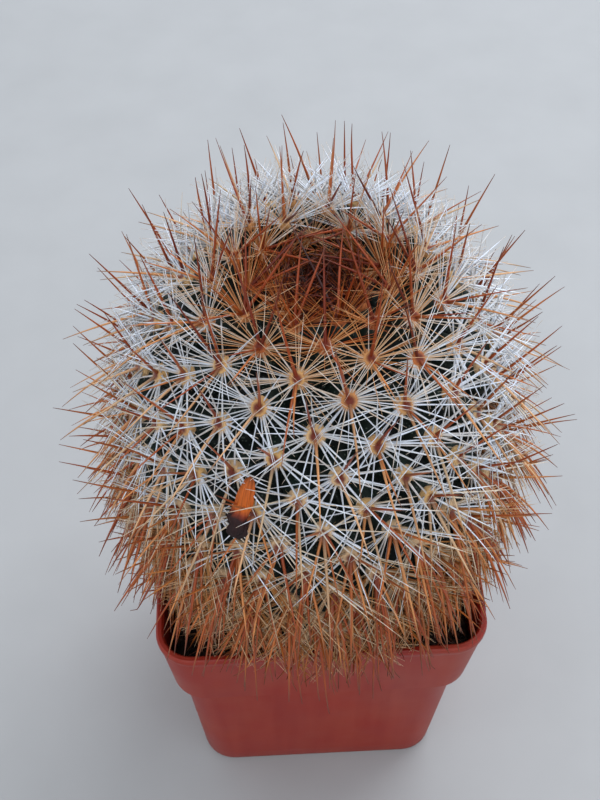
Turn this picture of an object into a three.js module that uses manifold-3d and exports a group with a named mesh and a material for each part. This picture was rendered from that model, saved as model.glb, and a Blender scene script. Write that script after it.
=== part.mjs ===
// Small round cactus in a square nursery pot. Millimetres, +Z up.
// The origin is the centre of the pot's underside, and -Y is the front.
//
// The stem is covered in tubercles set out by the golden angle. Each tubercle ends in an areole,
// and the areoles line up in spiral rows. One spine row is one solid: a thin mat where its radial
// spines interlace, with a pair of central spines standing out at each areole.
import * as THREE from "three";
import { ConvexHull } from "three/addons/math/ConvexHull.js";
import { mergeVertices } from "three/addons/utils/BufferGeometryUtils.js";
import Module from "manifold-3d";

const wasm = await Module();
wasm.setup();

// ---- Pot: a tapered square shell with a wider band below its rim ----
const POT_HEIGHT = 50;
const RIM_WIDTH = 55;
const BAND_HEIGHT = 16;
const BAND_TAPER = 1.5; // how far each side leans in from the rim to the band's lower edge
const BAND_STEP = 1.4; // how far each side steps in under the band
const WALL_TAPER = 2.3; // how far each side leans in from the step to the floor
const POT_WALL = 1.2;
const POT_FLOOR = 1.6;
const CORNER_RADIUS = 6;
const LIP_ROUNDING = 0.35;
const STEP_HEIGHT = 1.6; // height over which the wall steps in
const DRAIN_RADIUS = 3;
const DRAIN_OFFSET = 12; // from the centre, along X and along Y

// ---- Soil ----
const SOIL_BELOW_RIM = 7;
const CLEARANCE = 0.3; // gap kept between pieces that touch

// ---- Stem, measured over the tips of its tubercles ----
const STEM_RADIUS = 29;
const STEM_HEIGHT = 60; // from the rim up to the crown's highest ring
const WIDEST_ABOVE_RIM = 24;
const CROWN_RING_RADIUS = 12;
const CROWN_DIMPLE = 7.5;
const NECK_GAP = 1.5; // from the stem to the inside of the rim
const COLLAR_GAP = 3.6; // from the stem to the pot's wall at the soil
const ROOT_DEPTH = 9;
const ROOT_RADIUS = 5;
const TUBERCLE_HEIGHT = 2.6;

// ---- Areoles and spines ----
const AREOLE_SPACING = 7.3;
const CROWN_SPACING = 3; // spacing of the youngest areoles, at the apex
const CROWN_REACH = 24; // distance from the apex at which the spacing is full
const SPINE_ROWS = 21;
const CROWN_TUFT_RADIUS = 9; // rows start outside it
const MAT_HALF_WIDTH = 3.1;
const MAT_WAIST = 0.62; // width between two areoles, as a share of the width at one
const MAT_THICKNESS = 1.15;
const MAT_LIFT = 0.4; // from the tubercle tips to the mat's underside
const MAT_END = 0.3; // how far a mat runs on past its last areole, as a share of the spacing
const CENTRAL_LENGTH = 13.5; // of a full-grown central spine
const CENTRAL_RADIUS = 0.5;
const UPPER_TILT = THREE.MathUtils.degToRad(20);
const LOWER_TILT = THREE.MathUtils.degToRad(-25);
const SPINE_RIM_GAP = 1.2; // height that every spine keeps above the rim
const TUFT_LENGTH = 9;
const TUFT_LEAN = THREE.MathUtils.degToRad(12);
const TUFT_LIFT = 1.3; // from the dimple's skin to the dish that holds the tuft

// ---- Withered flower, lying on the spines at the front ----
const FLOWER_TURN = THREE.MathUtils.degToRad(-112);
const FLOWER_BELOW_CROWN = 12.5;
const FLOWER_LENGTH = 10.5;
const FLOWER_RADIUS = 1.5;
const FLOWER_LIFT = 3.9; // from the tubercle tips to the flower's base
const FLOWER_CLEAR = 6.5; // areoles nearer than this keep no central spines

// How finely curves are cut into flats.
const CORNER_STEPS = 5;
const DRAIN_SIDES = 16;
const DISH_RINGS = 5;
const DISH_SIDES = 18;
const HOLLOW_RINGS = 10;
const HOLLOW_SIDES = 32;
const FLOWER_SIDES = 10;
const OUTLINE_STEP = 0.05;
const GOLDEN_ANGLE = Math.PI * (3 - Math.sqrt(5));
const UP = new THREE.Vector3(0, 0, 1);

const soilTop = POT_HEIGHT - SOIL_BELOW_RIM;
const rimHalf = RIM_WIDTH / 2;

// ---------------------------------------------------------------- solids

function solidOf(geometry) {
  const bare = geometry.clone();
  bare.deleteAttribute("normal");
  bare.deleteAttribute("uv");
  const merged = mergeVertices(bare, 1e-4);
  const mesh = new wasm.Mesh({
    numProp: 3,
    vertProperties: merged.attributes.position.array,
    triVerts: new Uint32Array(merged.index.array),
  });
  return new wasm.Manifold(mesh);
}

function geometryOf(solid) {
  const mesh = solid.getMesh();
  const geometry = new THREE.BufferGeometry();
  geometry.setAttribute("position", new THREE.BufferAttribute(mesh.vertProperties, 3));
  geometry.setIndex(new THREE.BufferAttribute(mesh.triVerts, 1));
  return geometry;
}

function indexedGeometry(points, triangles) {
  const geometry = new THREE.BufferGeometry();
  geometry.setFromPoints(points);
  geometry.setIndex(triangles.flat());
  return geometry;
}

function joinAll(geometries) {
  const [first, ...rest] = geometries.map(solidOf);
  return geometryOf(rest.reduce((joined, next) => joined.add(next), first));
}

// A skin over closed loops with the same number of points, closed at both ends. A loop may be a
// single point. Loops run anticlockwise as seen from the end that the skin goes towards.
function skin(loops) {
  const points = loops.flat();
  const starts = [];
  loops.reduce((start, loop) => {
    starts.push(start);
    return start + loop.length;
  }, 0);
  const triangles = [];
  for (let i = 0; i + 1 < loops.length; i++) {
    const count = Math.max(loops[i].length, loops[i + 1].length);
    const at = (row, k) => starts[row] + (loops[row].length === 1 ? 0 : k % count);
    for (let k = 0; k < count; k++) {
      const corners = [at(i, k), at(i, k + 1), at(i + 1, k + 1), at(i + 1, k)];
      if (corners[0] !== corners[1]) triangles.push([corners[0], corners[1], corners[2]]);
      if (corners[2] !== corners[3]) triangles.push([corners[0], corners[2], corners[3]]);
    }
  }
  const first = loops[0];
  const last = loops[loops.length - 1];
  for (let k = 1; k + 1 < first.length; k++) triangles.push([starts[0], k + 1, k]);
  const end = starts[starts.length - 1];
  for (let k = 1; k + 1 < last.length; k++) triangles.push([end, end + k, end + k + 1]);
  return indexedGeometry(points, triangles);
}

function spike(base, direction, length, radius) {
  const geometry = new THREE.ConeGeometry(radius, length, 3);
  geometry.translate(0, length / 2, 0);
  geometry.applyQuaternion(new THREE.Quaternion().setFromUnitVectors(new THREE.Vector3(0, 1, 0), direction));
  geometry.translate(base.x, base.y, base.z);
  return geometry;
}

// ---------------------------------------------------------------- pot and soil

// One level of the pot's outer wall: its height and half its width.
const bandFoot = POT_HEIGHT - BAND_HEIGHT;
const underBandHalf = rimHalf - BAND_TAPER - BAND_STEP;
const wallLevels = [
  { z: 0, half: underBandHalf - WALL_TAPER },
  { z: bandFoot - STEP_HEIGHT, half: underBandHalf },
  { z: bandFoot, half: rimHalf - BAND_TAPER },
  { z: POT_HEIGHT, half: rimHalf },
];

function wallHalfAt(z) {
  const upper = wallLevels.findIndex((level) => level.z >= z);
  const [a, b] = [wallLevels[Math.max(upper - 1, 0)], wallLevels[upper]];
  return a === b ? a.half : THREE.MathUtils.mapLinear(z, a.z, b.z, a.half, b.half);
}

function squareLoop(z, half, inset) {
  const radius = Math.max(CORNER_RADIUS - inset, 0.5);
  const side = half - inset - radius;
  const loop = [];
  for (let corner = 0; corner < 4; corner++) {
    const [sx, sy] = [[1, 1], [-1, 1], [-1, -1], [1, -1]][corner];
    for (let k = 0; k <= CORNER_STEPS; k++) {
      const angle = (Math.PI / 2) * (corner + k / CORNER_STEPS);
      const x = sx * side + radius * Math.cos(angle);
      const y = sy * side + radius * Math.sin(angle);
      loop.push(new THREE.Vector3(x, y, z));
    }
  }
  return loop;
}

// Loops that follow the wall at a constant inset, from one height up to another.
function wallLoops(from, to, inset) {
  const heights = wallLevels.map((level) => level.z).filter((z) => z > from && z < to);
  return [from, ...heights, to].map((z) => squareLoop(z, wallHalfAt(z), inset));
}

function potGeometry() {
  const outer = wallLoops(0, POT_HEIGHT - LIP_ROUNDING, 0);
  const lip = [
    squareLoop(POT_HEIGHT, rimHalf, LIP_ROUNDING),
    squareLoop(POT_HEIGHT, rimHalf, POT_WALL - LIP_ROUNDING),
  ];
  const inner = wallLoops(POT_FLOOR, POT_HEIGHT - LIP_ROUNDING, POT_WALL).reverse();
  let pot = solidOf(skin([...outer, ...lip, ...inner]));
  for (const sx of [-1, 1]) {
    for (const sy of [-1, 1]) {
      const drain = new THREE.CylinderGeometry(DRAIN_RADIUS, DRAIN_RADIUS, 4 * POT_FLOOR, DRAIN_SIDES);
      drain.rotateX(Math.PI / 2);
      drain.translate(sx * DRAIN_OFFSET, sy * DRAIN_OFFSET, 0);
      pot = pot.subtract(solidOf(drain));
    }
  }
  return geometryOf(pot);
}

function soilGeometry() {
  const block = solidOf(skin(wallLoops(POT_FLOOR + CLEARANCE, soilTop, POT_WALL + CLEARANCE)));
  const rootEnd = outline[outline.length - 1];
  const buried = outline.filter((point) => point.y < POT_HEIGHT);
  const step = Math.ceil(buried.length / HOLLOW_RINGS);
  const side = buried.filter((point, i) => i % step === 0 || i === buried.length - 1);
  const profile = [
    new THREE.Vector2(0, rootEnd.y - CLEARANCE),
    ...side.reverse().map((point) => new THREE.Vector2(point.x + 2 * CLEARANCE, point.y - CLEARANCE)),
    new THREE.Vector2(0, side[side.length - 1].y - CLEARANCE),
  ];
  const hollow = new THREE.LatheGeometry(profile, HOLLOW_SIDES);
  hollow.rotateX(Math.PI / 2);
  return geometryOf(block.subtract(solidOf(hollow)));
}

// ---------------------------------------------------------------- stem

// The stem's outline over its tubercle tips, as (radius, height), from the apex to the root's end.
function stemOutline() {
  const crownZ = POT_HEIGHT + STEM_HEIGHT;
  const widestZ = POT_HEIGHT + WIDEST_ABOVE_RIM;
  const neck = rimHalf - POT_WALL - NECK_GAP;
  const collar = wallHalfAt(soilTop) - POT_WALL - COLLAR_GAP;
  const dimple = (t) => [CROWN_RING_RADIUS * t, crownZ - (CROWN_DIMPLE * (1 + Math.cos(Math.PI * t))) / 2];
  const shoulder = (t) => [
    CROWN_RING_RADIUS + (STEM_RADIUS - CROWN_RING_RADIUS) * Math.sin((Math.PI / 2) * t),
    widestZ + (crownZ - widestZ) * Math.cos((Math.PI / 2) * t),
  ];
  const waist = (t) => [STEM_RADIUS - (STEM_RADIUS - neck) * t * t, widestZ - WIDEST_ABOVE_RIM * t];
  const below = (t) => [neck + (collar - neck) * t, POT_HEIGHT - SOIL_BELOW_RIM * t];
  const root = (t) => [
    ROOT_RADIUS + (collar - ROOT_RADIUS) * Math.cos((Math.PI / 2) * t),
    soilTop - ROOT_DEPTH * Math.sin((Math.PI / 2) * t),
  ];
  const end = (t) => [ROOT_RADIUS * (1 - t), soilTop - ROOT_DEPTH];
  const points = [];
  for (const stretch of [dimple, shoulder, waist, below, root, end]) {
    const length = new THREE.Vector2(...stretch(0)).distanceTo(new THREE.Vector2(...stretch(1)));
    const steps = Math.ceil(length / OUTLINE_STEP);
    for (let i = 0; i < steps; i++) points.push(new THREE.Vector2(...stretch(i / steps)));
  }
  points.push(new THREE.Vector2(...end(1)));
  return points;
}

// The place on the skin at one point of the outline, turned about the stem's axis.
function skinAt(step, turn) {
  const [a, b] = [outline[step - 1], outline[step]];
  const run = a.distanceTo(b);
  const outward = new THREE.Vector3(Math.cos(turn), Math.sin(turn), 0);
  const lying = (alongRadius, alongZ) => outward.clone().multiplyScalar(alongRadius).addScaledVector(UP, alongZ);
  return {
    step,
    turn,
    radius: b.x,
    at: lying(b.x, b.y),
    normal: lying((a.y - b.y) / run, (b.x - a.x) / run),
    up: lying((a.x - b.x) / run, (a.y - b.y) / run),
  };
}

// Areoles are placed one by one down the outline: each is a golden angle on from the last, as soon
// as the skin passed since then is enough for one more areole.
function areoleList() {
  const areoles = [];
  let room = 0.5;
  let fromApex = 0;
  for (let i = 1; i < outline.length; i++) {
    const [a, b] = [outline[i - 1], outline[i]];
    const run = a.distanceTo(b);
    fromApex += run;
    const age = Math.min(fromApex / CROWN_REACH, 1);
    const spacing = THREE.MathUtils.lerp(CROWN_SPACING, AREOLE_SPACING, age);
    const cell = (Math.sqrt(3) / 2) * spacing ** 2;
    room += (Math.PI * (a.x + b.x) * run) / cell;
    if (room < 1) continue;
    room -= 1;
    areoles.push({ ...skinAt(i, areoles.length * GOLDEN_ANGLE), spacing });
  }
  return areoles;
}

// The tips are joined to their neighbours in the way that a hull joins them when they are spread
// over a ball, and the middle of each of its triangles sinks to make the valley between tubercles.
function stemGeometry() {
  const heart = new THREE.Vector3(0, 0, POT_HEIGHT + WIDEST_ABOVE_RIM);
  const ball = areoles.map(({ at }) => at.clone().sub(heart).normalize());
  const rowOf = new Map(ball.map((point, i) => [point, i]));
  const points = areoles.map(({ at }) => at.clone());
  const triangles = [];
  for (const face of new ConvexHull().setFromPoints(ball).faces) {
    const corners = [];
    let edge = face.edge;
    do {
      corners.push(rowOf.get(edge.head().point));
      edge = edge.next;
    } while (edge !== face.edge);
    const middle = new THREE.Vector3();
    const inward = new THREE.Vector3();
    let spacing = 0;
    for (const corner of corners) {
      middle.addScaledVector(areoles[corner].at, 1 / corners.length);
      inward.sub(areoles[corner].normal);
      spacing += areoles[corner].spacing / corners.length;
    }
    const buried = middle.z < soilTop;
    const depth = buried ? 0 : (TUBERCLE_HEIGHT * spacing) / AREOLE_SPACING;
    const valley = points.push(middle.addScaledVector(inward.normalize(), depth)) - 1;
    corners.forEach((corner, k) => triangles.push([corner, corners[(k + 1) % corners.length], valley]));
  }
  return indexedGeometry(points, triangles);
}

// ---------------------------------------------------------------- spines

// Areoles whose central spines would run into the withered flower.
function underFlower(point) {
  const nearest = flowerAxis.closestPointToPoint(point, true, new THREE.Vector3());
  return nearest.distanceTo(point) < FLOWER_CLEAR;
}

function tilted(areole, tilt) {
  return areole.normal.clone().multiplyScalar(Math.cos(tilt)).addScaledVector(areole.up, Math.sin(tilt));
}

// The mat's section at a point of a row: a flat diamond with its corners at the sides, the top
// and the underside.
function matSection(at, normal, along, width) {
  const side = new THREE.Vector3().crossVectors(normal, along).normalize();
  const raised = (height) => at.clone().addScaledVector(normal, height);
  const edge = MAT_LIFT + MAT_THICKNESS / 3;
  return [
    raised(edge).addScaledVector(side, -width),
    raised(MAT_LIFT),
    raised(edge).addScaledVector(side, width),
    raised(MAT_LIFT + MAT_THICKNESS),
  ];
}

// Half the room that a row has between its neighbours, where it passes a point in a direction.
function roomBesideRow(radius, up, along) {
  const between = (2 * Math.PI * radius) / SPINE_ROWS;
  return (between * Math.abs(along.dot(up)) - CLEARANCE) / 2;
}

// The places that a row's mat passes: its areoles, and one place halfway between each two.
function matPlaces(row) {
  const between = SPINE_ROWS * GOLDEN_ANGLE;
  const turnOn = between - 2 * Math.PI * Math.round(between / (2 * Math.PI));
  return row.flatMap((areole, i) => {
    const next = row[i + 1];
    if (!next) return [{ ...areole, share: 1 }];
    const middle = skinAt(Math.round((areole.step + next.step) / 2), areole.turn + turnOn / 2);
    return [{ ...areole, share: 1 }, { ...middle, share: MAT_WAIST }];
  });
}

function rowMat(row) {
  const places = matPlaces(row);
  const last = places.length - 1;
  const loops = places.map((place, i) => {
    const along = places[Math.min(i + 1, last)].at.clone().sub(places[Math.max(i - 1, 0)].at).normalize();
    const room = roomBesideRow(place.radius, place.up, along);
    return matSection(place.at, place.normal, along, place.share * Math.min(MAT_HALF_WIDTH, room));
  });
  const endOf = (place, inner) => {
    const outward = place.at.clone().sub(inner.at).setLength(MAT_END * place.spacing);
    return [place.at.clone().add(outward).addScaledVector(place.normal, MAT_LIFT + MAT_THICKNESS / 2)];
  };
  return skin([endOf(places[0], places[1]), ...loops, endOf(places[last], places[last - 1])]);
}

function rowGeometry(row) {
  const pieces = [rowMat(row)];
  for (const areole of row.filter(({ at }) => !underFlower(at))) {
    const base = areole.at.clone().addScaledVector(areole.normal, MAT_LIFT + MAT_THICKNESS / 2);
    const length = (CENTRAL_LENGTH * areole.spacing) / AREOLE_SPACING;
    for (const tilt of [UPPER_TILT, LOWER_TILT]) {
      const direction = tilted(areole, tilt);
      const tipZ = base.z + direction.z * length;
      if (tipZ < POT_HEIGHT + SPINE_RIM_GAP) continue;
      pieces.push(spike(base, direction, length, CENTRAL_RADIUS));
    }
  }
  return joinAll(pieces);
}

// The crown's young spines: a low dish in the dimple with one spine at each young areole.
function tuftGeometry(young) {
  const reach = CROWN_TUFT_RADIUS - CLEARANCE - MAT_END * areoles[young.length].spacing;
  const floor = Array.from({ length: DISH_RINGS + 1 }, (unused, ring) => {
    const radius = (reach * ring) / DISH_RINGS;
    return new THREE.Vector2(radius, outline.find((point) => point.x >= radius).y + TUFT_LIFT);
  });
  const top = floor.map((point) => new THREE.Vector2(point.x, point.y + MAT_THICKNESS)).reverse();
  const dish = new THREE.LatheGeometry([...floor, ...top], DISH_SIDES);
  dish.rotateX(Math.PI / 2);
  const pieces = [dish];
  for (const areole of young.filter(({ radius }) => radius < reach - CENTRAL_RADIUS)) {
    const base = areole.at.clone().addScaledVector(UP, TUFT_LIFT + MAT_THICKNESS / 2);
    const inward = new THREE.Vector3(-areole.at.x, -areole.at.y, 0).normalize();
    const lean = TUFT_LEAN * (areole.radius / CROWN_TUFT_RADIUS);
    const direction = UP.clone().multiplyScalar(Math.cos(lean)).addScaledVector(inward, Math.sin(lean));
    pieces.push(spike(base, direction, TUFT_LENGTH, CENTRAL_RADIUS));
  }
  return joinAll(pieces);
}

// ---------------------------------------------------------------- withered flower

// The line down the middle of the flower, from where it grew to its shrivelled end.
function flowerLine() {
  const z = POT_HEIGHT + STEM_HEIGHT - FLOWER_BELOW_CROWN;
  const i = outline.findIndex((point) => point.x > CROWN_RING_RADIUS && point.y < z);
  const slope = outline[i].clone().sub(outline[i - 1]).normalize();
  const outward = new THREE.Vector3(Math.cos(FLOWER_TURN), Math.sin(FLOWER_TURN), 0);
  const normal = outward.clone().multiplyScalar(-slope.y).addScaledVector(UP, slope.x);
  const down = outward.clone().multiplyScalar(slope.x).addScaledVector(UP, slope.y);
  const left = new THREE.Vector3().crossVectors(outward, UP);
  const start = outward.clone().multiplyScalar(outline[i].x).addScaledVector(UP, outline[i].y);
  start.addScaledVector(normal, FLOWER_LIFT);
  const direction = down.addScaledVector(normal, 0.25).addScaledVector(left, 0.15).normalize();
  return new THREE.Line3(start, start.clone().addScaledVector(direction, FLOWER_LENGTH));
}

function flowerGeometry() {
  const shape = [[0, 0], [0.35, 0], [0.9, 0.18], [1, 0.36], [0.8, 0.55], [0.6, 0.62], [0.75, 0.8], [0.4, 0.97], [0, 1]];
  const profile = shape.map(([r, h]) => new THREE.Vector2(r * FLOWER_RADIUS, h * FLOWER_LENGTH));
  const geometry = new THREE.LatheGeometry(profile, FLOWER_SIDES);
  const direction = flowerAxis.delta(new THREE.Vector3()).normalize();
  geometry.applyQuaternion(new THREE.Quaternion().setFromUnitVectors(new THREE.Vector3(0, 1, 0), direction));
  geometry.translate(flowerAxis.start.x, flowerAxis.start.y, flowerAxis.start.z);
  return geometry;
}

// ---------------------------------------------------------------- materials and assembly

function terracottaPlastic() {
  return new THREE.MeshStandardMaterial({ color: "#8a3f36", roughness: 0.45, metalness: 0 });
}

function pottingSoil() {
  return new THREE.MeshStandardMaterial({ color: "#2a1d17", roughness: 0.95, metalness: 0 });
}

function greenSkin() {
  return new THREE.MeshStandardMaterial({ color: "#2c3b2a", roughness: 0.55, metalness: 0 });
}

function paleSpines() {
  return new THREE.MeshStandardMaterial({ color: "#cdb497", roughness: 0.5, metalness: 0 });
}

function youngSpines() {
  return new THREE.MeshStandardMaterial({ color: "#6b2f1e", roughness: 0.5, metalness: 0 });
}

function papery() {
  return new THREE.MeshStandardMaterial({ color: "#a8552a", roughness: 0.8, metalness: 0 });
}

const outline = stemOutline();
const areoles = areoleList();
const flowerAxis = flowerLine();

const cactus = new THREE.Group();

function addPiece(name, geometry, material) {
  const piece = new THREE.Mesh(geometry, material);
  piece.name = name;
  cactus.add(piece);
}

addPiece("pot", potGeometry(), terracottaPlastic());
addPiece("soil", soilGeometry(), pottingSoil());
addPiece("stem", stemGeometry(), greenSkin());

const firstRowed = areoles.findIndex(({ radius }) => radius >= CROWN_TUFT_RADIUS);
addPiece("crown_tuft", tuftGeometry(areoles.slice(0, firstRowed)), youngSpines());

const clearOfRim = ({ at, spacing }) => at.z > POT_HEIGHT + SPINE_RIM_GAP + spacing / 2;
for (let first = 0; first < SPINE_ROWS; first++) {
  const row = areoles.filter((areole, n) => n >= firstRowed && (n - firstRowed) % SPINE_ROWS === first);
  const name = `spine_row_${String(first + 1).padStart(2, "0")}`;
  addPiece(name, rowGeometry(row.filter(clearOfRim)), paleSpines());
}

addPiece("dried_flower", flowerGeometry(), papery());

export default cactus;
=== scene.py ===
# %% [markdown]
# # A small round cactus in a square nursery pot
#
# The plant is a pincushion cactus. Its green stem is covered in tubercles, which are small cones
# set out by the golden angle. Each one ends in an areole: a round pad of wool that holds a flat fan
# of thin radial spines and a few long central spines. The pot is one thin plastic moulding.
#
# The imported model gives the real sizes. Every piece below is built in metres, in its frame.

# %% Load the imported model
import math

import bmesh
import bpy
import numpy as np
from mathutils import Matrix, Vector, noise


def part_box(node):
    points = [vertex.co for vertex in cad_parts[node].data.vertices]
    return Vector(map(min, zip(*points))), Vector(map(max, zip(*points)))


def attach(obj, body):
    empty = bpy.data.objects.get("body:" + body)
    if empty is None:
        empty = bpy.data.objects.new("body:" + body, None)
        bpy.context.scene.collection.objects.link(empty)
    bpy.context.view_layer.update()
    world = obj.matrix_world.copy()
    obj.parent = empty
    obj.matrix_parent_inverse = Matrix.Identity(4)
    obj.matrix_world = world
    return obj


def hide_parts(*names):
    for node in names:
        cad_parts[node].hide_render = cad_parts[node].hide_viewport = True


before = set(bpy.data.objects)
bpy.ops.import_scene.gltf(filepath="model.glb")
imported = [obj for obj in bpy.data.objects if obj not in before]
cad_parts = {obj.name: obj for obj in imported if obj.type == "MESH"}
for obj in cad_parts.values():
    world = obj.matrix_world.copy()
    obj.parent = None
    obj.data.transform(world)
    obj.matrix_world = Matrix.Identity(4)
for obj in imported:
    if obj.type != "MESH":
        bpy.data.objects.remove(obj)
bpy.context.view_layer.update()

print("nodes in the frame:", len(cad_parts))

# %% [markdown]
# ## Helpers
#
# Colours are written as the sRGB values that a colour picker shows, and a shader works in linear
# light, so one function turns the first into the second. Node trees for materials and for geometry
# are made of the same steps: add a node, apply its settings, fill its inputs. One function does it.

# %% Colours and nodes
MM = 0.001

# The kinds of node that are used most.
MATH = "ShaderNodeMath"
VECTOR = "ShaderNodeVectorMath"
RANGE = "ShaderNodeMapRange"
MIX = "ShaderNodeMix"
NOISE = "ShaderNodeTexNoise"
READ = "GeometryNodeInputNamedAttribute"
STORE = "GeometryNodeStoreNamedAttribute"


def colour(hex_value):
    """The linear RGBA of an sRGB hex colour."""
    channels = [int(hex_value[i:i + 2], 16) / 255 for i in (1, 3, 5)]
    linear = [c / 12.92 if c <= 0.04045 else ((c + 0.055) / 1.055) ** 2.4 for c in channels]
    return (*linear, 1.0)


def fill(tree, node, inputs):
    """Fills a node's inputs, in order from a list or by name from a dict.

    An input is a plain value, a hex colour, a socket, or a node whose first output is meant. None
    skips it.
    """
    sockets = [socket for socket in node.inputs if socket.enabled]
    if isinstance(inputs, dict):
        named = {socket.name: socket for socket in sockets}
        pairs = [(named[name], value) for name, value in inputs.items()]
    else:
        pairs = list(zip(sockets, inputs))
    for socket, value in pairs:
        if isinstance(value, bpy.types.Node):
            value = next(output for output in value.outputs if output.enabled)
        if isinstance(value, str) and value.startswith("#"):
            value = colour(value)
        if isinstance(value, bpy.types.NodeSocket):
            tree.links.new(value, socket)
        elif value is not None:
            socket.default_value = value


def add(tree, kind, inputs=(), **settings):
    """Adds a node, applies its settings and fills its inputs."""
    node = tree.nodes.new(kind)
    for name, value in settings.items():
        setattr(node, name, value)
    fill(tree, node, inputs)
    return node


print("mid grey in linear light:", round(colour("#808080")[0], 3))


# %% Materials, geometry trees and finished pieces
def new_material(name):
    """A material, its node tree and its shader."""
    material = bpy.data.materials.new(name)
    material.use_nodes = True
    return material, material.node_tree, material.node_tree.nodes["Principled BSDF"]


def set_stops(ramp, stops):
    """Gives a colour ramp its stops, each a position and a hex colour."""
    elements = ramp.color_ramp.elements
    while len(elements) < len(stops):
        elements.new(0.5)
    for element, (position, hex_value) in zip(elements, stops):
        element.position = position
        element.color = colour(hex_value)
    return ramp


def new_tree(name, **sizes):
    """A Geometry Nodes tree with a named input for each size, and the sockets of those inputs."""
    tree = bpy.data.node_groups.new(name, "GeometryNodeTree")
    tree.interface.new_socket("Geometry", in_out="OUTPUT", socket_type="NodeSocketGeometry")
    tree.interface.new_socket("Geometry", in_out="INPUT", socket_type="NodeSocketGeometry")
    for label, kind in sizes.items():
        tree.interface.new_socket(label, in_out="INPUT", socket_type="NodeSocket" + kind)
    return tree, add(tree, "NodeGroupInput").outputs


def end_tree(tree, geometry, material):
    """Turns what the tree made into one smooth real mesh with its material, and hands it out."""
    smooth = add(tree, "GeometryNodeSetShadeSmooth", [geometry])
    real = add(tree, "GeometryNodeRealizeInstances", [smooth])
    dressed = add(tree, "GeometryNodeSetMaterial", {"Geometry": real, "Material": material})
    add(tree, "NodeGroupOutput", [dressed])


def grow(name, tree, start, **values):
    """Runs a tree on a starting mesh, and keeps the result as an object with a plain mesh."""
    grower = bpy.data.objects.new(name + "_start", start)
    bpy.context.scene.collection.objects.link(grower)
    modifier = grower.modifiers.new(tree.name, "NODES")
    modifier.node_group = tree
    for item in tree.interface.items_tree:
        if item.in_out == "INPUT" and item.name in values:
            modifier[item.identifier] = values[item.name]
    evaluated = grower.evaluated_get(bpy.context.evaluated_depsgraph_get())
    mesh = bpy.data.meshes.new_from_object(evaluated)
    bpy.data.objects.remove(grower)
    return place(name, mesh)


def place(name, mesh, material=None):
    """Puts a mesh in the scene as a named object at the origin."""
    mesh.name = name
    if material:
        mesh.materials.append(material)
    piece = bpy.data.objects.new(name, mesh)
    bpy.context.scene.collection.objects.link(piece)
    return piece


def finish_piece(piece, slot, *nodes):
    """Hangs a piece from the root and hides the imported nodes it stands for; slot is not used."""
    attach(piece, "root")
    if nodes:
        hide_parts(*nodes)
    print(f"{piece.name}: {len(piece.data.polygons)} faces")


# %% [markdown]
# ## Camera
#
# The view looks down on the crown at about 50 degrees from close by, so the stem hides most of the
# pot, and the pot narrows towards its foot. A 54 mm lens on a 36 mm sensor gives that perspective.
# The camera stands 3 degrees round to the left, because the pot is turned that much.

# %% Camera
CAMERA_LENS = 54
CAMERA_TURN = math.radians(-3)
CAMERA_TILT = math.radians(49.86)
CAMERA_DISTANCE = 188.1 * MM
LOOK_AT = Vector((-2.55, 0.0, 82.16)) * MM


def add_camera():
    data = bpy.data.cameras.new("camera")
    data.lens = CAMERA_LENS
    camera = bpy.data.objects.new("camera", data)
    flat = math.cos(CAMERA_TILT)
    back = Vector((math.sin(CAMERA_TURN) * flat, -math.cos(CAMERA_TURN) * flat, math.sin(CAMERA_TILT)))
    camera.location = LOOK_AT + back * CAMERA_DISTANCE
    camera.rotation_mode = "QUATERNION"
    camera.rotation_quaternion = (-back).to_track_quat("-Z", "Y")
    bpy.context.scene.collection.objects.link(camera)
    return camera


bpy.context.scene.camera = add_camera()
print("camera at", [round(c / MM, 1) for c in bpy.context.scene.camera.location], "mm")

# %% [markdown]
# ## Light and floor
#
# The plant stands in open shade under a wide pale sky. A bluish sky lights everything softly, a
# large panel behind it on the right gives the spines their highlights, and a weak panel in front
# keeps the pot's front wall from going dull. The floor is plain pale concrete.

# %% Light
LIT_POINT = Vector((0, 0, 0.07))

bpy.context.scene.view_settings.view_transform = "Standard"
world = bpy.data.worlds.new("shade")
bpy.context.scene.world = world
world.use_nodes = True
sky = world.node_tree.nodes["Background"]
fill(world.node_tree, sky, {"Color": "#e2eaf6", "Strength": 1.24})

# Each square soft panel: its name, place in metres, width, power and tint.
for name, spot, width, power, tint in [
    ("sky_panel", (0.25, 0.3, 0.6), 0.5, 3.2, "#f4f7ff"),
    ("front_panel", (-0.1, -0.6, 0.4), 0.5, 0.8, "#fff6ee"),
]:
    light = bpy.data.lights.new(name, "AREA")
    light.size = width
    light.energy = power
    light.color = colour(tint)[:3]
    panel = bpy.data.objects.new(name, light)
    panel.location = spot
    panel.rotation_mode = "QUATERNION"
    panel.rotation_quaternion = (LIT_POINT - panel.location).to_track_quat("-Z", "Y")
    bpy.context.scene.collection.objects.link(panel)
    print(f"{name}: {power} W")


# %% Floor
FLOOR_REACH = 1.5


def trowelled_concrete():
    """Concrete smoothed by trowel: pale grey, with faint broad clouds where it dried unevenly."""
    material, tree, shader = new_material("trowelled_concrete")
    where = add(tree, "ShaderNodeTexCoord").outputs["Object"]
    clouds = add(tree, NOISE, {"Vector": where, "Scale": 45.0, "Detail": 5.0})
    tint = add(tree, MIX, [clouds, "#9b9b99", "#a6a6a4"], data_type="RGBA")
    fill(tree, shader, {"Base Color": tint, "Roughness": 0.7})
    return material


floor_mesh = bpy.data.meshes.new("floor")
corners = [(-1, -1), (1, -1), (1, 1), (-1, 1)]
floor_mesh.from_pydata([(x * FLOOR_REACH, y * FLOOR_REACH, 0) for x, y in corners], [], [(0, 1, 2, 3)])
place("floor", floor_mesh, trowelled_concrete())
print("floor:", 2 * FLOOR_REACH, "m wide")

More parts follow.
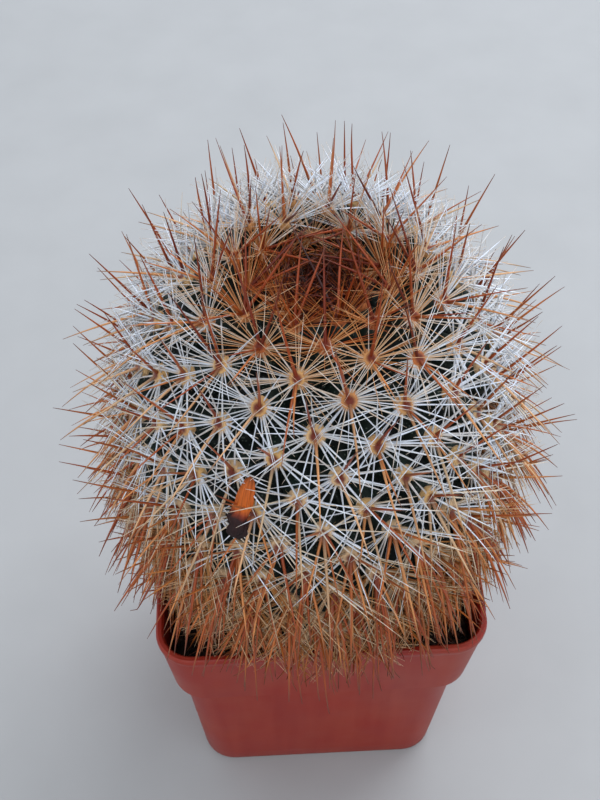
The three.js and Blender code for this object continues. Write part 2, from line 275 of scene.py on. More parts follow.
# %% [markdown]
# ## The plant's rule
#
# A cactus stem adds areoles one at a time at its apex. Each is turned by the golden angle from the
# last, as on a sunflower head, and as the stem grows they move outwards and down its side. So the
# rule walks down the stem's outline from the apex, and sets a new areole each time the skin that
# was passed has room for one more. Every other piece of the plant reads the list made here.

# %% Outline of the stem over its tubercle tips
STEM_RADIUS = 29.0
STEM_HEIGHT = 60.0
WIDEST_ABOVE_RIM = 24.0
CROWN_RING = 12.0
CROWN_DIMPLE = 7.5
NECK_RADIUS = 24.8
COLLAR_RADIUS = 22.04
ROOT_RADIUS = 5.0
ROOT_DEPTH = 9.0
OUTLINE_STEP = 0.05

rim_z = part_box("pot")[1].z / MM
rim_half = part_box("pot")[1].x / MM
soil_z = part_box("soil")[1].z / MM


def stem_outline():
    """Points (radius, height) in mm from the apex, over the crown and down the side to the root."""
    crown_z = rim_z + STEM_HEIGHT
    widest_z = rim_z + WIDEST_ABOVE_RIM
    quarter = math.pi / 2
    stretches = [
        lambda t: (CROWN_RING * t, crown_z - CROWN_DIMPLE * (1 + math.cos(math.pi * t)) / 2),
        lambda t: (
            CROWN_RING + (STEM_RADIUS - CROWN_RING) * math.sin(quarter * t),
            widest_z + (crown_z - widest_z) * math.cos(quarter * t),
        ),
        lambda t: (STEM_RADIUS - (STEM_RADIUS - NECK_RADIUS) * t * t, widest_z - WIDEST_ABOVE_RIM * t),
        lambda t: (NECK_RADIUS + (COLLAR_RADIUS - NECK_RADIUS) * t, rim_z + (soil_z - rim_z) * t),
        lambda t: (
            ROOT_RADIUS + (COLLAR_RADIUS - ROOT_RADIUS) * math.cos(quarter * t),
            soil_z - ROOT_DEPTH * math.sin(quarter * t),
        ),
        lambda t: (ROOT_RADIUS * (1 - t), soil_z - ROOT_DEPTH),
    ]
    points = []
    for stretch in stretches:
        steps = math.ceil(math.dist(stretch(0), stretch(1)) / OUTLINE_STEP)
        points += [stretch(i / steps) for i in range(steps)]
    return points + [(0.0, soil_z - ROOT_DEPTH)]


outline = stem_outline()
print(f"outline: {len(outline)} points, widest {max(r for r, z in outline):.1f} mm")

# %% Areoles down the outline
AREOLE_SPACING = 7.3
CROWN_SPACING = 3.0
CROWN_REACH = 24.0
GOLDEN_ANGLE = math.pi * (3 - math.sqrt(5))
CROWN_TUFT_RADIUS = 9.0
SPINE_ROWS = 21


def areole_list():
    """Each areole's place, its outward and crownward directions, and how far it is from the apex."""
    found = []
    room = 0.5
    from_apex = 0.0
    for (ra, za), (rb, zb) in zip(outline, outline[1:]):
        run = math.dist((ra, za), (rb, zb))
        from_apex += run
        spacing = CROWN_SPACING + (AREOLE_SPACING - CROWN_SPACING) * min(from_apex / CROWN_REACH, 1)
        room += math.pi * (ra + rb) * run / (math.sqrt(3) / 2 * spacing ** 2)
        if room < 1:
            continue
        room -= 1
        turn = len(found) * GOLDEN_ANGLE
        east, north = math.cos(turn), math.sin(turn)
        lean, rise = (za - zb) / run, (rb - ra) / run
        found.append({
            "at": Vector((rb * east, rb * north, zb)),
            "outward": Vector((lean * east, lean * north, rise)),
            "crownward": Vector((-rise * east, -rise * north, lean)),
            "spacing": spacing,
            "from_apex": from_apex,
            "radius": rb,
        })
    return found


areoles = areole_list()
first_rowed = next(n for n, areole in enumerate(areoles) if areole["radius"] >= CROWN_TUFT_RADIUS)
print(f"{len(areoles)} areoles, {first_rowed} of them in the crown tuft")

# %% [markdown]
# ## Ageing
#
# Spines tell a plant's age. At the apex they are young, short, dark and upright. On the shoulder
# and the widest part they are full-grown, and the radials are white. Low down they are years old,
# straw brown, and hang. So each kind of spine gets its traits from a table of values along the
# skin, from the apex down, and the values between two rows of the table are blended. The stem
# stands upright here, but such a plant leans a little, so the ages round the crown are shifted: its
# back is ahead and its front is behind.

# %% Points with traits
SEED = 11
FADE_LEAD = 5.5  # mm of ageing by which the back of the crown is ahead of its sides
LEAD_SHARES = [(0, 0), (5, 0.5), (8, 0.4), (14, 1), (30, 1), (44, 0)]  # that lead down the skin
LED_TRAITS = ("shade", "count", "thick")  # the traits that the lead changes


def areole_mesh(name, chosen, **tables):
    """A mesh of bare points, one at each chosen areole, that carries the traits the trees read.

    Each table lists (mm from the apex, value). A trait without a table is left out and reads as 0.
    """
    mesh = bpy.data.meshes.new(name)
    mesh.from_pydata([areole["at"] * MM for areole in chosen], [], [])
    for trait in ("outward", "crownward"):
        values = np.array([areole[trait] for areole in chosen])
        attribute = mesh.attributes.new(trait, "FLOAT_VECTOR", "POINT")
        attribute.data.foreach_set("vector", values.ravel())
    ages = np.array([areole["from_apex"] for areole in chosen])
    backward = np.array([areole["at"].y / max(areole["radius"], 1.0) for areole in chosen])
    led_ages = ages + FADE_LEAD * backward * np.interp(ages, *zip(*LEAD_SHARES))
    luck = np.random.default_rng(SEED)
    traits = {
        trait: np.interp(led_ages if trait in LED_TRAITS else ages, *zip(*table))
        for trait, table in tables.items()
    }
    traits["size"] = np.array([areole["spacing"] for areole in chosen]) / AREOLE_SPACING
    traits["twist"] = luck.uniform(-1, 1, len(chosen))
    if "count" in traits:
        counts = np.rint(traits["count"] + luck.uniform(-0.5, 0.5, len(chosen)))
        traits["count"] = counts.astype(np.int32)
    for trait, values in traits.items():
        kind = "INT" if trait == "count" else "FLOAT"
        mesh.attributes.new(trait, kind, "POINT").data.foreach_set("value", values)
    return mesh


# Distances from the apex along the skin, in mm: crown ring, shoulder, widest part and neck.
RING_AGE, SHOULDER_AGE, WIDEST_AGE, NECK_AGE = 12.0, 28.0, 54.0, 79.0
print("oldest areole:", round(areoles[-1]["from_apex"], 1), "mm from the apex")

# %% [markdown]
# ## The spine tree
#
# All spines grow the same way, so one tree makes every kind. It copies each areole's point once
# for each spine, works out where that spine starts and where it heads, and stands a short straight
# curve there. Each curve is then bent along `foot + t * run + t * t * sag`, and a thin tapering
# tube is swept along it. A mesh template would be quicker, but then all spines would bend alike.
#
# A spine's colour depends on its kind and on how far along it the eye is. So the tube is unwrapped
# into a narrow upright strip: a strip's column is its shade, and its height is the way to the tip.

# %% Build the spine tree
SHADES = 24  # columns of the spines' colour chart
STRIP_MARGIN = 0.1  # free share at each side of a column
CHART_MARGIN = 0.02  # free share at the foot and at the top of the chart
TIP_SHARE = 0.16  # a tip's thickness as a share of the shaft's at its foot
TAPER_POWER = 1.7
BULB_POWER = 9.0
LIP_START = 2.6 * MM  # inside the rim's face, where the ground starts to rise to the rim
LIP_END = 1.2 * MM  # inside the rim's face, where it has risen
LYING_BEND = 1.2 * MM  # how softly a spine bends where it meets the ground


def turned(tree, first, second, angle):
    """The direction at an angle from one direction towards another that is square to it."""
    parts = []
    for direction, operation in ((first, "COSINE"), (second, "SINE")):
        share = add(tree, MATH, [angle], operation=operation)
        parts.append(add(tree, VECTOR, [direction, share], operation="SCALE"))
    return add(tree, VECTOR, parts, operation="ADD")


def spine_tree():
    tree, given = new_tree(
        "spines",
        Length="Float", LengthSpread="Float", Thickness="Float", Bulb="Float",
        FootRing="Float", FootHeight="Float", FanCentre="Float", Sideways="Float", Wobble="Float",
        LiftSpread="Float", ShadeSpread="Float", Sway="Float",
        Sides="Int", Segments="Int", Seed="Int",
        RimHalf="Float", RimHeight="Float", SoilHeight="Float", Material="Material",
    )

    # The traits that the points, the strands and the tubes carry.
    numbers = ("count", "fan", "lift", "long", "droop", "bow", "shade", "thick", "size", "twist",
               "shade_here", "way", "around")
    directions = ("outward", "crownward", "foot", "run", "sag")
    trait = {name: add(tree, READ, [name], data_type="FLOAT") for name in numbers}
    trait |= {name: add(tree, READ, [name], data_type="FLOAT_VECTOR") for name in directions}
    outward, crownward = trait["outward"], trait["crownward"]

    # Five draws for each spine.
    draws = []
    for number in range(1, 6):
        seed = add(tree, MATH, [given["Seed"], number], operation="ADD")
        inputs = {"Min": -1.0, "Max": 1.0, "Seed": seed}
        draws.append(add(tree, "FunctionNodeRandomValue", inputs, data_type="FLOAT"))
    turn_luck, lift_luck, length_luck, sway_luck, shade_luck = draws

    # One point for each spine, and its angle in the fan.
    amount = {"Geometry": given["Geometry"], "Amount": trait["count"]}
    points = add(tree, "GeometryNodeDuplicateElements", amount, domain="POINT")
    share = add(tree, MATH, [points.outputs["Duplicate Index"], 0.5], operation="ADD")
    share = add(tree, MATH, [share, trait["count"]], operation="DIVIDE")
    share = add(tree, MATH, [share, 0.5], operation="SUBTRACT")
    even = add(tree, MATH, [share, trait["fan"], given["FanCentre"]], operation="MULTIPLY_ADD")
    sideways = add(tree, MATH, [even, 2.0], operation="MULTIPLY")
    sideways = add(tree, MATH, [sideways], operation="SINE")
    fan = add(tree, MATH, [sideways, given["Sideways"], even], operation="MULTIPLY_ADD")
    twist = add(tree, MATH, [trait["twist"], 0.2], operation="MULTIPLY")
    wobble = add(tree, MATH, [turn_luck, given["Wobble"], twist], operation="MULTIPLY_ADD")
    angle = add(tree, MATH, [fan, wobble], operation="ADD")

    # Where it heads: round the areole by the angle, and up off the skin by the lift.
    across = add(tree, VECTOR, [outward, crownward], operation="CROSS_PRODUCT")
    along_skin = turned(tree, crownward, across, angle)
    lift = add(tree, MATH, [lift_luck, given["LiftSpread"], trait["lift"]], operation="MULTIPLY_ADD")
    heading = turned(tree, along_skin, outward, lift)
    stretch = add(tree, MATH, [length_luck, given["LengthSpread"], 1.0], operation="MULTIPLY_ADD")
    length = add(tree, MATH, [given["Length"], trait["long"]], operation="MULTIPLY")
    length = add(tree, MATH, [length, stretch], operation="MULTIPLY")
    run = add(tree, VECTOR, [heading, length], operation="SCALE")

    # Where it starts: on a ring round the areole's middle, a little above the skin.
    raised = add(tree, VECTOR, [outward, given["FootHeight"]], operation="SCALE")
    foot = add(tree, VECTOR, [add(tree, "GeometryNodeInputPosition"), raised], operation="ADD")
    ring = add(tree, MATH, [given["FootRing"], trait["size"]], operation="MULTIPLY")
    ring = add(tree, VECTOR, [along_skin, ring], operation="SCALE")
    foot = add(tree, VECTOR, [foot, ring], operation="ADD")

    # How it bends: down, to one side, and off or towards the skin.
    droop = add(tree, MATH, [trait["droop"], -1.0], operation="MULTIPLY")
    sag = add(tree, "ShaderNodeCombineXYZ", [0.0, 0.0, droop])
    sway = add(tree, MATH, [sway_luck, given["Sway"]], operation="MULTIPLY")
    for direction, amount in ((across, sway), (outward, trait["bow"])):
        bend = add(tree, VECTOR, [direction, amount], operation="SCALE")
        sag = add(tree, VECTOR, [sag, bend], operation="ADD")
    sag = add(tree, VECTOR, [sag, length], operation="SCALE")
    shade = [shade_luck, given["ShadeSpread"], trait["shade"]]
    shade = add(tree, MATH, shade, operation="MULTIPLY_ADD")
    for name, value in (("foot", foot), ("run", run), ("sag", sag)):
        stored = [points, None, name, value]
        points = add(tree, STORE, stored, data_type="FLOAT_VECTOR", domain="POINT")
    points = add(tree, STORE, [points, None, "shade_here", shade], data_type="FLOAT", domain="POINT")

    # A straight curve for each, bent into place.
    line = add(tree, "GeometryNodeCurvePrimitiveLine")
    stations = add(tree, MATH, [given["Segments"], 1], operation="ADD")
    rod = add(tree, "GeometryNodeResampleCurve", {"Curve": line, "Count": stations})
    planted = add(tree, "GeometryNodeInstanceOnPoints", {"Points": points, "Instance": rod})
    strands = add(tree, "GeometryNodeRealizeInstances", [planted])
    way = add(tree, "GeometryNodeSplineParameter").outputs["Factor"]
    squared = add(tree, MATH, [way, way], operation="MULTIPLY")
    bent = add(tree, VECTOR, [trait["sag"], squared, trait["foot"]], operation="MULTIPLY_ADD")
    bent = add(tree, VECTOR, [trait["run"], way, bent], operation="MULTIPLY_ADD")

    # Spines that meet the soil or the rim lie over it.
    x, y, z = add(tree, "ShaderNodeSeparateXYZ", [bent]).outputs
    outmost = [add(tree, MATH, [axis], operation="ABSOLUTE") for axis in (x, y)]
    outmost = add(tree, MATH, outmost, operation="MAXIMUM")
    lip = [
        add(tree, MATH, [given["RimHalf"], inset], operation="SUBTRACT")
        for inset in (LIP_START, LIP_END)
    ]
    ground = [outmost, *lip, given["SoilHeight"], given["RimHeight"]]
    ground = add(tree, RANGE, ground, interpolation_type="SMOOTHSTEP")
    resting = add(tree, MATH, [z, ground, LYING_BEND], operation="SMOOTH_MAX")
    laid = add(tree, "ShaderNodeCombineXYZ", [x, y, resting])
    strands = add(tree, "GeometryNodeSetPosition", {"Geometry": strands, "Position": laid})
    strands = add(tree, STORE, [strands, None, "way", way], data_type="FLOAT", domain="POINT")

    # A tapering tube, thicker at its foot.
    taper = add(tree, MATH, [way, TAPER_POWER], operation="POWER")
    taper = add(tree, MATH, [taper, TIP_SHARE - 1.0, 1.0], operation="MULTIPLY_ADD")
    bulb = add(tree, MATH, [1.0, way], operation="SUBTRACT")
    bulb = add(tree, MATH, [bulb, BULB_POWER], operation="POWER")
    bulb = add(tree, MATH, [given["Bulb"], bulb], operation="MULTIPLY")
    girth = add(tree, MATH, [taper, bulb], operation="ADD")
    half = add(tree, MATH, [given["Thickness"], 0.5], operation="MULTIPLY")
    radius = add(tree, MATH, [girth, half], operation="MULTIPLY")
    radius = add(tree, MATH, [radius, trait["thick"]], operation="MULTIPLY")
    ring = {"Resolution": given["Sides"], "Radius": 1.0}
    ring = add(tree, "GeometryNodeCurvePrimitiveCircle", ring)
    around = add(tree, "GeometryNodeSplineParameter")
    ring = add(tree, STORE, [ring, None, "around", around], data_type="FLOAT", domain="POINT")
    tube = {"Curve": strands, "Profile Curve": ring, "Scale": radius, "Fill Caps": True}
    tube = add(tree, "GeometryNodeCurveToMesh", tube)

    # The strip on the colour chart.
    shade = add(tree, MATH, [trait["shade_here"], 0.0], operation="MAXIMUM")
    shade = add(tree, MATH, [shade, 0.999], operation="MINIMUM")
    column = add(tree, MATH, [shade, float(SHADES)], operation="MULTIPLY")
    column = add(tree, MATH, [column], operation="FLOOR")
    strip = [trait["around"], 1 - 2 * STRIP_MARGIN, STRIP_MARGIN]
    strip = add(tree, MATH, strip, operation="MULTIPLY_ADD")
    across_chart = add(tree, MATH, [column, strip], operation="ADD")
    across_chart = add(tree, MATH, [across_chart, float(SHADES)], operation="DIVIDE")
    up_chart = [trait["way"], 1 - 2 * CHART_MARGIN, CHART_MARGIN]
    up_chart = add(tree, MATH, up_chart, operation="MULTIPLY_ADD")
    chart = add(tree, "ShaderNodeCombineXYZ", [across_chart, up_chart])
    tube = add(tree, STORE, [tube, None, "OFBake", chart], data_type="FLOAT2", domain="CORNER")
    end_tree(tree, tube, given["Material"])
    return tree


SPINES = spine_tree()
print("spine tree:", len(SPINES.nodes), "nodes")

# %% Grow one kind of spine
OVER_RIM = 0.45  # mm from the rim up to the middle of a spine that lies on it
OVER_SOIL = 0.4


def grow_spines(name, chosen, material, tables, **sizes):
    """Grows one kind of spine on the chosen areoles. Lengths are in mm and angles in degrees."""
    defaults = {"count": [(0, 1)], "fan": [(0, 0)], "lift": [(0, 0)], "long": [(0, 1)],
                "thick": [(0, 1)], "shade": [(0, 0.5)], "droop": [(0, 0)], "bow": [(0, 0)]}
    tables = {**defaults, **tables}
    for trait in ("fan", "lift"):
        tables[trait] = [(age, math.radians(value)) for age, value in tables[trait]]
    start = areole_mesh(name, chosen, **tables)
    for label in ("Length", "Thickness", "FootRing", "FootHeight"):
        sizes[label] = sizes[label] * MM
    for label in ("FanCentre", "Wobble", "LiftSpread"):
        sizes[label] = math.radians(sizes[label])
    ground = {"RimHalf": rim_half * MM, "RimHeight": (rim_z + OVER_RIM) * MM,
              "SoilHeight": (soil_z + OVER_SOIL) * MM}
    return grow(name, SPINES, start, Material=material, **sizes, **ground)


# %% [markdown]
# ## Spine material
#
# A cactus spine is lignified cellulose: hard, dry and a little glassy, like thin horn. It has no
# pattern bigger than a hair, but its colour changes from foot to tip and from plant age to plant
# age. One plain colour for each kind would look painted, so the material reads the colour chart: a
# ramp across the columns gives the shade, and two tints come in towards the foot and the tip. Fine
# streaks run along a spine, and each column is a little brighter or darker than the next: partly
# the spines' own tone, partly painted shade for spines deep in the mat.

# %% Spine material
def spine_material(name, shades, foot, foot_reach, tip, tip_start, grown, roughness):
    """Lignified cactus spine, grown smooth: a satin, slightly glassy gleam along its length.

    The tints at foot and tip come in over the range of shades that `grown` gives.
    """
    material, tree, shader = new_material(name)
    chart = add(tree, "ShaderNodeUVMap", uv_map="OFBake")
    column, way, _ = add(tree, "ShaderNodeSeparateXYZ", [chart]).outputs
    tint = set_stops(add(tree, "ShaderNodeValToRGB", [column]), shades)
    aged = add(tree, RANGE, [column, *grown, 0.0, 1.0])
    near_foot = add(tree, RANGE, [way, 0.0, foot_reach, aged, 0.0])
    near_tip = add(tree, RANGE, [way, tip_start, 1.0, 0.0, aged])
    for near, stain in ((near_foot, foot), (near_tip, tip)):
        tint = add(tree, MIX, [near, tint, stain], data_type="RGBA")
    grain = add(tree, "ShaderNodeMapping", {"Vector": chart, "Scale": (90.0, 4.0, 1.0)})
    streaks = add(tree, NOISE, {"Vector": grain, "Scale": 1.0, "Detail": 2.0})
    streaks = add(tree, RANGE, [streaks, 0.3, 0.7, 0.82, 1.12])
    # Each column is a little brighter or darker at random: partly the spines' own tone, partly painted
    # shade for spines deep in the mat.
    number = add(tree, MATH, [column, float(SHADES)], operation="MULTIPLY")
    number = add(tree, MATH, [number], operation="FLOOR")
    luck = add(tree, "ShaderNodeTexWhiteNoise", {"W": number}, noise_dimensions="1D")
    tone_and_painted_shade = add(tree, RANGE, [luck, 0.0, 1.0, 0.7, 1.06])
    for light in (streaks, tone_and_painted_shade):
        tint = add(tree, MIX, [1.0, tint, light], data_type="RGBA", blend_type="MULTIPLY")
    fill(tree, shader, {"Base Color": tint, "Roughness": roughness, "IOR": 1.53,
                        "Specular IOR Level": 0.35})
    return material


# The radials' bluish white at 0.64 is white with a painted tint of skylight.
RADIAL_HORN = spine_material(
    "radial_spine_horn",
    [(0.0, "#2a0a07"), (0.05, "#5c1c0c"), (0.1, "#a64c18"), (0.17, "#c8752f"), (0.26, "#d99f66"),
     (0.34, "#e3bf97"), (0.42, "#ebdfd0"), (0.5, "#eff2f2"), (0.64, "#e7effa"), (0.74, "#e4cfae"),
     (0.86, "#c5853f"), (1.0, "#9c5420")],
    foot="#dcb98a", foot_reach=0.12, tip="#d8bc98", tip_start=0.8, grown=(0.14, 0.4), roughness=0.38,
)
CENTRAL_HORN = spine_material(
    "central_spine_horn",
    [(0.0, "#1e0706"), (0.1, "#5a1a0a"), (0.2, "#82300f"), (0.4, "#a44c1e"), (0.55, "#bd672c"),
     (0.7, "#cc8a50"), (0.85, "#d8ac80"), (1.0, "#d9b990")],
    foot="#70200c", foot_reach=0.2, tip="#5a3a2c", tip_start=0.7, grown=(-0.1, 0.0), roughness=0.4,
)
print("spine materials:", RADIAL_HORN.name, "and", CENTRAL_HORN.name)

# %% [markdown]
# ## Stem
#
# Between the spines the stem shows as near-black green hollows, and each areole sits on a cone. The
# shape follows the plant's rule, so it is a Geometry Nodes tree: a grid is wrapped round the
# outline like a sheet on a lathe, and each of its points sinks the further it is from the nearest
# areole. Sculpting would give the same look, but it would miss the areoles as soon as one moved.

# %% Build the stem tree
CONE_SHARES = (0.1, 0.62)  # a cone's tip and its foot, as shares of the spacing
SMOOTH_FOOT = 3 * MM  # the tubercles come in over this height above the soil
SEAM = 0.002 * MM


def stem_tree():
    tree, given = new_tree(
        "tubercled_stem", Areoles="Object", Valley="Float", Sides="Int", Rings="Int",
        SoilHeight="Float", Material="Material",
    )

    # A grid whose u runs round the stem and whose v runs down its outline, spun about the axis.
    grid = add(tree, "GeometryNodeMeshGrid", [1.0, 1.0, given["Sides"], given["Rings"]])
    u, v, _ = add(tree, "ShaderNodeSeparateXYZ", [grid.outputs["UV Map"]]).outputs
    profile = {"Curves": add(tree, "GeometryNodeMeshToCurve", [given["Geometry"]]), "Factor": v}
    station = add(tree, "GeometryNodeSampleCurve", profile, mode="FACTOR", use_all_curves=True)
    radius, _, height = add(tree, "ShaderNodeSeparateXYZ", [station.outputs["Position"]]).outputs
    slope_out, _, slope_up = add(tree, "ShaderNodeSeparateXYZ", [station.outputs["Tangent"]]).outputs
    lean = add(tree, MATH, [slope_up, -1.0], operation="MULTIPLY")
    turn = add(tree, MATH, [u, 2 * math.pi], operation="MULTIPLY")
    turns = [add(tree, MATH, [turn], operation=part) for part in ("COSINE", "SINE")]
    spun = []
    for reach, level in ((radius, height), (lean, slope_out)):
        x, y = [add(tree, MATH, [reach, part], operation="MULTIPLY") for part in turns]
        spun.append(add(tree, "ShaderNodeCombineXYZ", [x, y, level]))
    lathed, outward = spun

    # How far each point is from the nearest areole, and so how deep it sinks.
    tips = add(tree, "GeometryNodeObjectInfo", [given["Areoles"]]).outputs["Geometry"]
    nearest = add(tree, "GeometryNodeSampleNearest", [tips, lathed], domain="POINT")
    size = [tips, add(tree, READ, ["size"], data_type="FLOAT"), nearest]
    size = add(tree, "GeometryNodeSampleIndex", size, data_type="FLOAT", domain="POINT")
    away = {"Geometry": tips, "Sample Position": lathed}
    away = add(tree, "GeometryNodeProximity", away, target_element="POINTS").outputs["Distance"]
    spacing = add(tree, MATH, [size, AREOLE_SPACING * MM], operation="MULTIPLY")
    share = add(tree, MATH, [away, spacing], operation="DIVIDE")
    sunk = add(tree, RANGE, [share, *CONE_SHARES, 0.0, 1.0], interpolation_type="SMOOTHSTEP")
    clear = add(tree, MATH, [given["SoilHeight"], SMOOTH_FOOT], operation="ADD")
    above_soil = add(tree, RANGE, [height, given["SoilHeight"], clear, 0.0, 1.0])
    sunk = add(tree, MATH, [sunk, above_soil], operation="MULTIPLY")
    depth = sunk
    for factor in (size, given["Valley"], -1.0):
        depth = add(tree, MATH, [depth, factor], operation="MULTIPLY")
    inward = add(tree, VECTOR, [outward, depth], operation="SCALE")
    place_at = add(tree, VECTOR, [lathed, inward], operation="ADD")

    # How far a point has sunk is kept too, as the mask for the painted shade in the skin's hollows.
    wrapped = add(tree, STORE, [grid, None, "hollow_shade", sunk], data_type="FLOAT", domain="POINT")
    wrapped = add(tree, "GeometryNodeSetPosition", {"Geometry": wrapped, "Position": place_at})
    closed = add(tree, "GeometryNodeMergeByDistance", {"Geometry": wrapped, "Distance": SEAM})
    end_tree(tree, closed, given["Material"])
    return tree


def stem_skin():
    """Cactus epidermis, grown: waxy dark green with pale breathing specks, and painted shade in the
    hollows.
    """
    material, tree, shader = new_material("waxy_cactus_epidermis")
    where = add(tree, "ShaderNodeTexCoord").outputs["Object"]
    hollow_shade = add(tree, "ShaderNodeAttribute", attribute_name="hollow_shade").outputs["Fac"]
    patches = add(tree, NOISE, {"Vector": where, "Scale": 260.0, "Detail": 3.0})
    specks = add(tree, "ShaderNodeTexVoronoi", {"Vector": where, "Scale": 1600.0}).outputs["Distance"]
    dots = add(tree, RANGE, [specks, 0.12, 0.3, 0.15, 0.0])
    tint = add(tree, MIX, [patches, "#121e19", "#1a2a22"], data_type="RGBA")
    # The hollows get painted shade, near-black where the skin sinks between the tubercles; the pale
    # specks are the skin's own.
    for amount, stain in ((hollow_shade, "#040706"), (dots, "#9fb0a0")):
        tint = add(tree, MIX, [amount, tint, stain], data_type="RGBA")
    pores = add(tree, "ShaderNodeBump", {"Strength": 0.25, "Distance": 0.0001, "Height": specks})
    fill(tree, shader, {"Base Color": tint, "Roughness": 0.5, "Specular IOR Level": 0.2,
                        "Normal": pores})
    return material


# %% Make the stem
outline_mesh = bpy.data.meshes.new("outline")
outline_edges = [(i, i + 1) for i in range(len(outline) - 1)]
outline_mesh.from_pydata([(r * MM, 0, z * MM) for r, z in outline], outline_edges, [])
tips = place("areole_tips", areole_mesh("areole_tips", areoles))
stem = grow("stem_body", stem_tree(), outline_mesh, Areoles=tips, Valley=4.6 * MM, Sides=361, Rings=190,
            SoilHeight=soil_z * MM, Material=stem_skin())
bpy.data.objects.remove(tips)
finish_piece(stem, "green_skin", "stem")

# %% [markdown]
# ## Radial spines
#
# Each areole on the side holds about 17 straight radials, 9 mm long, and drawn a third of a
# millimetre thick so that they show. They lie nearly flat and cross those of their neighbours. Near
# the crown they are more, thinner, tan and upright. Towards the neck they are about 25, straw brown,
# and fan downwards. Hair particles would be quicker, but a spine is stiff and has a round foot.

# %% Grow the radial spines
crown = areoles[:first_rowed]
above_rim = [
    areole for areole in areoles[first_rowed:]
    if areole["at"].z > rim_z + 2.0
    or areole["at"].z > soil_z + 2.5
    and max(abs(areole["at"].x), abs(areole["at"].y)) < rim_half - 7.0
]
rows = [f"spine_row_{number + 1:02d}" for number in range(SPINE_ROWS)]

RADIAL_TRAITS = {
    "count": [(0, 34), (8, 44), (18, 50), (22, 25), (SHOULDER_AGE, 17), (48, 16), (56, 25),
              (NECK_AGE, 26)],
    "fan": [(0, 360), (5, 290), (14, 300), (20, 360), (46, 360), (WIDEST_AGE, 280), (NECK_AGE, 220)],
    "lift": [(0, 68), (6, 52), (RING_AGE, 46), (18, 40), (SHOULDER_AGE, 32), (40, 30), (50, 33),
             (NECK_AGE, 28)],
    "long": [(0, 0.75), (5, 0.55), (RING_AGE, 0.9), (20, 0.98), (40, 1.05), (WIDEST_AGE, 1.1),
             (NECK_AGE, 1.05)],
    "shade": [(0, 0.0), (5, 0.01), (7, 0.06), (9, 0.12), (12, 0.22), (14, 0.32), (17, 0.45), (21, 0.57),
              (42, 0.62), (48, 0.7), (54, 0.84), (NECK_AGE, 0.92)],
    "thick": [(0, 0.55), (9, 0.44), (17, 0.5), (22, 0.84), (26, 1), (44, 1), (54, 0.78),
              (NECK_AGE, 0.76)],
    "droop": [(0, 0), (42, 0.02), (56, 0.2), (NECK_AGE, 0.15)],
    "bow": [(0, 0), (SHOULDER_AGE, -0.05), (NECK_AGE, -0.1)],
}
radials = grow_spines(
    "radial_spines", above_rim, RADIAL_HORN, RADIAL_TRAITS,
    Length=8.8, LengthSpread=0.2, Thickness=0.33, Bulb=0.3, FootRing=0.9, FootHeight=0.35,
    FanCentre=180, Sideways=0.3, Wobble=9, LiftSpread=13, ShadeSpread=0.12, Sway=0.05,
    Sides=3, Segments=4, Seed=3,
)
finish_piece(radials, "spines", *rows)

# %% [markdown]
# ## Central spines
#
# Two strong spines stand out at the middle of each areole. The upper one is dark red-brown and
# points up and out. The lower one is paler orange and bends down. Old areoles have four or five
# more, orange-brown, which hang in bundles and make the fringe round the plant's lower half. They
# are three runs of one tree, because each has its own place and its own ageing.

# %% Grow the central spines
uppers = grow_spines(
    "upper_central_spines", above_rim, CENTRAL_HORN,
    {
        "count": [(0, 2), (14, 1.6), (20, 1), (44, 1.1), (NECK_AGE, 1)],
        "fan": [(0, 120), (20, 70), (NECK_AGE, 40)],
        "lift": [(0, 66), (RING_AGE, 60), (22, 48), (44, 46), (WIDEST_AGE, 54), (NECK_AGE, 40)],
        "long": [(0, 0.8), (RING_AGE, 1), (SHOULDER_AGE, 1), (NECK_AGE, 0.9)],
        "shade": [(0, 0.14), (18, 0.22), (SHOULDER_AGE, 0.36), (WIDEST_AGE, 0.52), (NECK_AGE, 0.58)],
        "droop": [(0, 0), (WIDEST_AGE, 0.02), (NECK_AGE, 0.2)],
    },
    Length=13.2, LengthSpread=0.14, Thickness=0.46, Bulb=0.35, FootRing=0.2, FootHeight=0.5,
    FanCentre=0, Sideways=0.0, Wobble=20, LiftSpread=9, ShadeSpread=0.14, Sway=0.08,
    Sides=5, Segments=7, Seed=21,
)
finish_piece(uppers, "spines")

lowers = grow_spines(
    "lower_central_spines", above_rim, CENTRAL_HORN,
    {
        "lift": [(0, 58), (RING_AGE, 50), (SHOULDER_AGE, 38), (40, 38), (NECK_AGE, 36)],
        "long": [(0, 0.7), (RING_AGE, 0.9), (SHOULDER_AGE, 1), (NECK_AGE, 1.1)],
        "shade": [(0, 0.2), (RING_AGE, 0.4), (20, 0.7), (26, 0.86), (44, 0.84), (52, 0.4),
                  (NECK_AGE, 0.36)],
        "droop": [(0, 0), (SHOULDER_AGE, 0.05), (44, 0.15), (54, 0.36), (NECK_AGE, 0.3)],
        "thick": [(0, 0.8), (40, 0.95), (52, 1.35), (NECK_AGE, 1.4)],
    },
    Length=12.8, LengthSpread=0.18, Thickness=0.46, Bulb=0.4, FootRing=0.2, FootHeight=0.5,
    FanCentre=180, Sideways=0.0, Wobble=16, LiftSpread=9, ShadeSpread=0.14, Sway=0.07,
    Sides=5, Segments=7, Seed=34,
)
finish_piece(lowers, "spines")

